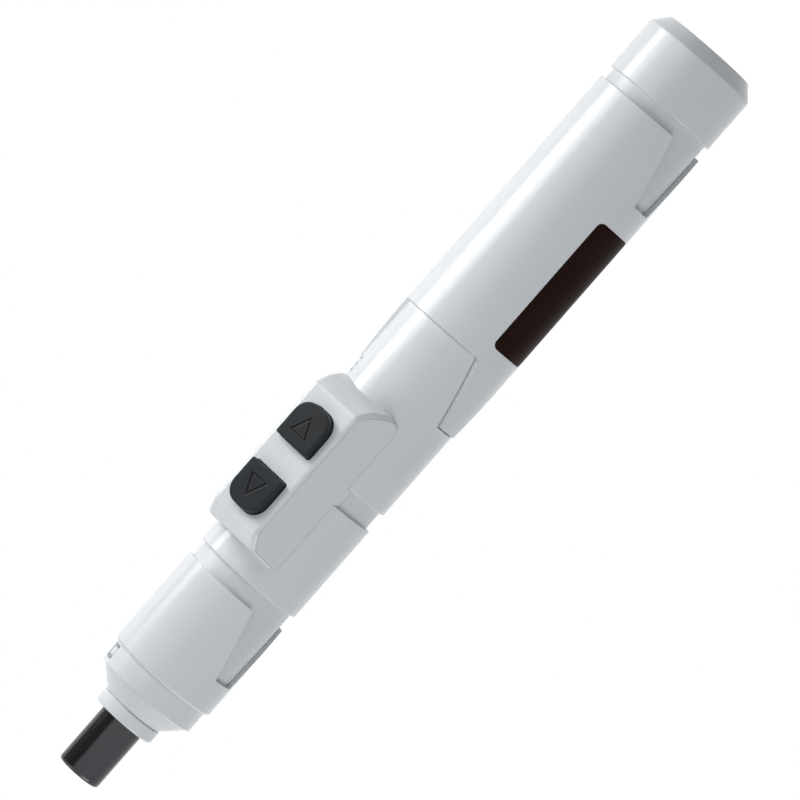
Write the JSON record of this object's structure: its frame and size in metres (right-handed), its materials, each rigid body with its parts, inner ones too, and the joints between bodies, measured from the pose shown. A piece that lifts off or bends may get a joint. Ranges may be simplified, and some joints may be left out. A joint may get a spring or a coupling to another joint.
{
  "type": "electric screwdriver",
  "caption": "Straight cordless screwdriver with a hex bit holder, stepped tube body and a raised housing carrying forward and reverse push buttons.",
  "frame": {"origin": "centre of the flat face of the tail cap, on the spindle's axis", "axes": "+Z along the spindle's axis from the tail to the bit holder; the buttons face -Y; the label is on the -X side"},
  "size_m": [0.026, 0.0335, 0.1924],
  "materials": {
    "white_shell": "semi-gloss moulded white plastic with a cool tone",
    "white_core": "semi-gloss moulded white plastic",
    "black_steel": "black-oxide turned steel",
    "charcoal_button": "satin charcoal plastic with engraved arrows",
    "label": "glossy dark plate, bare",
    "light_pipe": "smoked light pipes, unlit",
    "steel": "plain or zinc-plated steel",
    "gear_steel": "sintered steel",
    "ring_plastic": "natural acetal",
    "bronze": "sintered bronze",
    "copper": "copper",
    "magnet": "ferrite or plated magnet",
    "dark_plastic": "black moulded plastic",
    "board_green": "green circuit board",
    "cell_wrap": "shrink-wrapped lithium cell",
    "wire": "insulated wire",
    "seal_rubber": "black rubber"
  },
  "bodies": {
    "tool_body": {"battery_cell": "cell_wrap", "battery_lead": "wire", "bearing_carrier": "white_core", "board_screw": "steel", "button_cover": "white_shell", "button_housing": "white_shell", "cell_terminal": "steel", "charge_lights": "light_pipe", "core_tube": "white_core", "driver_board": "board_green", "driver_chips": "dark_plastic", "front_sleeve": "white_shell", "gearbox_plate": "steel", "label_plate": "label", "middle_front_sleeve": "white_shell", "middle_rear_sleeve": "white_shell", "motor_brushes": "bronze", "motor_bushes": "bronze", "motor_can": "steel", "motor_end_bell": "dark_plastic", "motor_leads": "wire", "motor_magnets": "magnet", "motor_screws": "steel", "nose_cap": "white_shell", "positive_contact": "steel", "rear_shell": "white_shell", "rear_tube": "white_core", "ring_gear": "ring_plastic", "spindle_bush": "bronze", "switch_board": "board_green", "switch_bodies": "dark_plastic", "switch_lead": "wire", "thrust_washer": "steel"},
    "spindle": {"bit_holder": "black_steel", "bit_magnet": "magnet", "spindle_circlip": "steel", "output_carrier": "gear_steel", "output_pins": "steel"},
    "first_stage": {"first_carrier": "gear_steel", "first_pins": "steel"},
    "rotor": {"motor_pinion": "gear_steel", "motor_shaft": "steel", "armature_core": "steel", "armature_winding": "copper", "commutator": "copper"},
    "forward_button": {"forward_button": "charcoal_button", "forward_plunger": "dark_plastic"},
    "reverse_button": {"reverse_button": "charcoal_button", "reverse_plunger": "dark_plastic"},
    "tail_cap": {"tail_cap": "white_shell", "cap_seal": "seal_rubber", "contact_plate": "steel", "contact_spring": "steel"},
    "output_planet_a": {"output_planet_a": "gear_steel"},
    "output_planet_b": {"output_planet_b": "gear_steel"},
    "output_planet_c": {"output_planet_c": "gear_steel"},
    "first_planet_a": {"first_planet_a": "gear_steel"},
    "first_planet_b": {"first_planet_b": "gear_steel"},
    "first_planet_c": {"first_planet_c": "gear_steel"}
  },
  "joints": [
    {"name": "rotor_spin", "type": "hinge", "parent": "tool_body", "child": "rotor", "pos_m": [0, 0, 0.135], "axis": [0, 0, 1], "continuous": true},
    {"name": "first_stage_spin", "type": "hinge", "parent": "tool_body", "child": "first_stage", "pos_m": [0, 0, 0.156], "axis": [0, 0, 1], "continuous": true},
    {"name": "spindle_spin", "type": "hinge", "parent": "tool_body", "child": "spindle", "pos_m": [0, 0, 0.175], "axis": [0, 0, 1], "continuous": true},
    {"name": "first_planet_a_spin", "type": "hinge", "parent": "first_stage", "child": "first_planet_a", "pos_m": [0, 0.00541, 0.1536], "axis": [0, 0, 1], "continuous": true},
    {"name": "first_planet_b_spin", "type": "hinge", "parent": "first_stage", "child": "first_planet_b", "pos_m": [-0.00468, -0.0027, 0.1536], "axis": [0, 0, 1], "continuous": true},
    {"name": "first_planet_c_spin", "type": "hinge", "parent": "first_stage", "child": "first_planet_c", "pos_m": [0.00468, -0.0027, 0.1536], "axis": [0, 0, 1], "continuous": true},
    {"name": "output_planet_a_spin", "type": "hinge", "parent": "spindle", "child": "output_planet_a", "pos_m": [0, 0.00541, 0.16], "axis": [0, 0, 1], "continuous": true},
    {"name": "output_planet_b_spin", "type": "hinge", "parent": "spindle", "child": "output_planet_b", "pos_m": [-0.00468, -0.0027, 0.16], "axis": [0, 0, 1], "continuous": true},
    {"name": "output_planet_c_spin", "type": "hinge", "parent": "spindle", "child": "output_planet_c", "pos_m": [0.00468, -0.0027, 0.16], "axis": [0, 0, 1], "continuous": true},
    {"name": "forward_press", "type": "slide", "parent": "tool_body", "child": "forward_button", "axis": [0, 1, 0], "range_m": [0, 0.0005], "stiffness_N_per_m": 800, "springref_m": -0.001},
    {"name": "reverse_press", "type": "slide", "parent": "tool_body", "child": "reverse_button", "axis": [0, 1, 0], "range_m": [0, 0.0005], "stiffness_N_per_m": 800, "springref_m": -0.001},
    {"name": "tail_cap_off", "type": "slide", "parent": "tool_body", "child": "tail_cap", "axis": [0, 0, -1], "range_m": [0, 0.03]}
  ],
  "couplings": [
    {"joint": "first_stage_spin", "follows": "rotor_spin", "ratio": 0.25},
    {"joint": "spindle_spin", "follows": "rotor_spin", "ratio": 0.0625},
    {"joint": "first_planet_a_spin", "follows": "rotor_spin", "ratio": -0.75},
    {"joint": "first_planet_b_spin", "follows": "rotor_spin", "ratio": -0.75},
    {"joint": "first_planet_c_spin", "follows": "rotor_spin", "ratio": -0.75},
    {"joint": "output_planet_a_spin", "follows": "rotor_spin", "ratio": -0.1875},
    {"joint": "output_planet_b_spin", "follows": "rotor_spin", "ratio": -0.1875},
    {"joint": "output_planet_c_spin", "follows": "rotor_spin", "ratio": -0.1875}
  ]
}
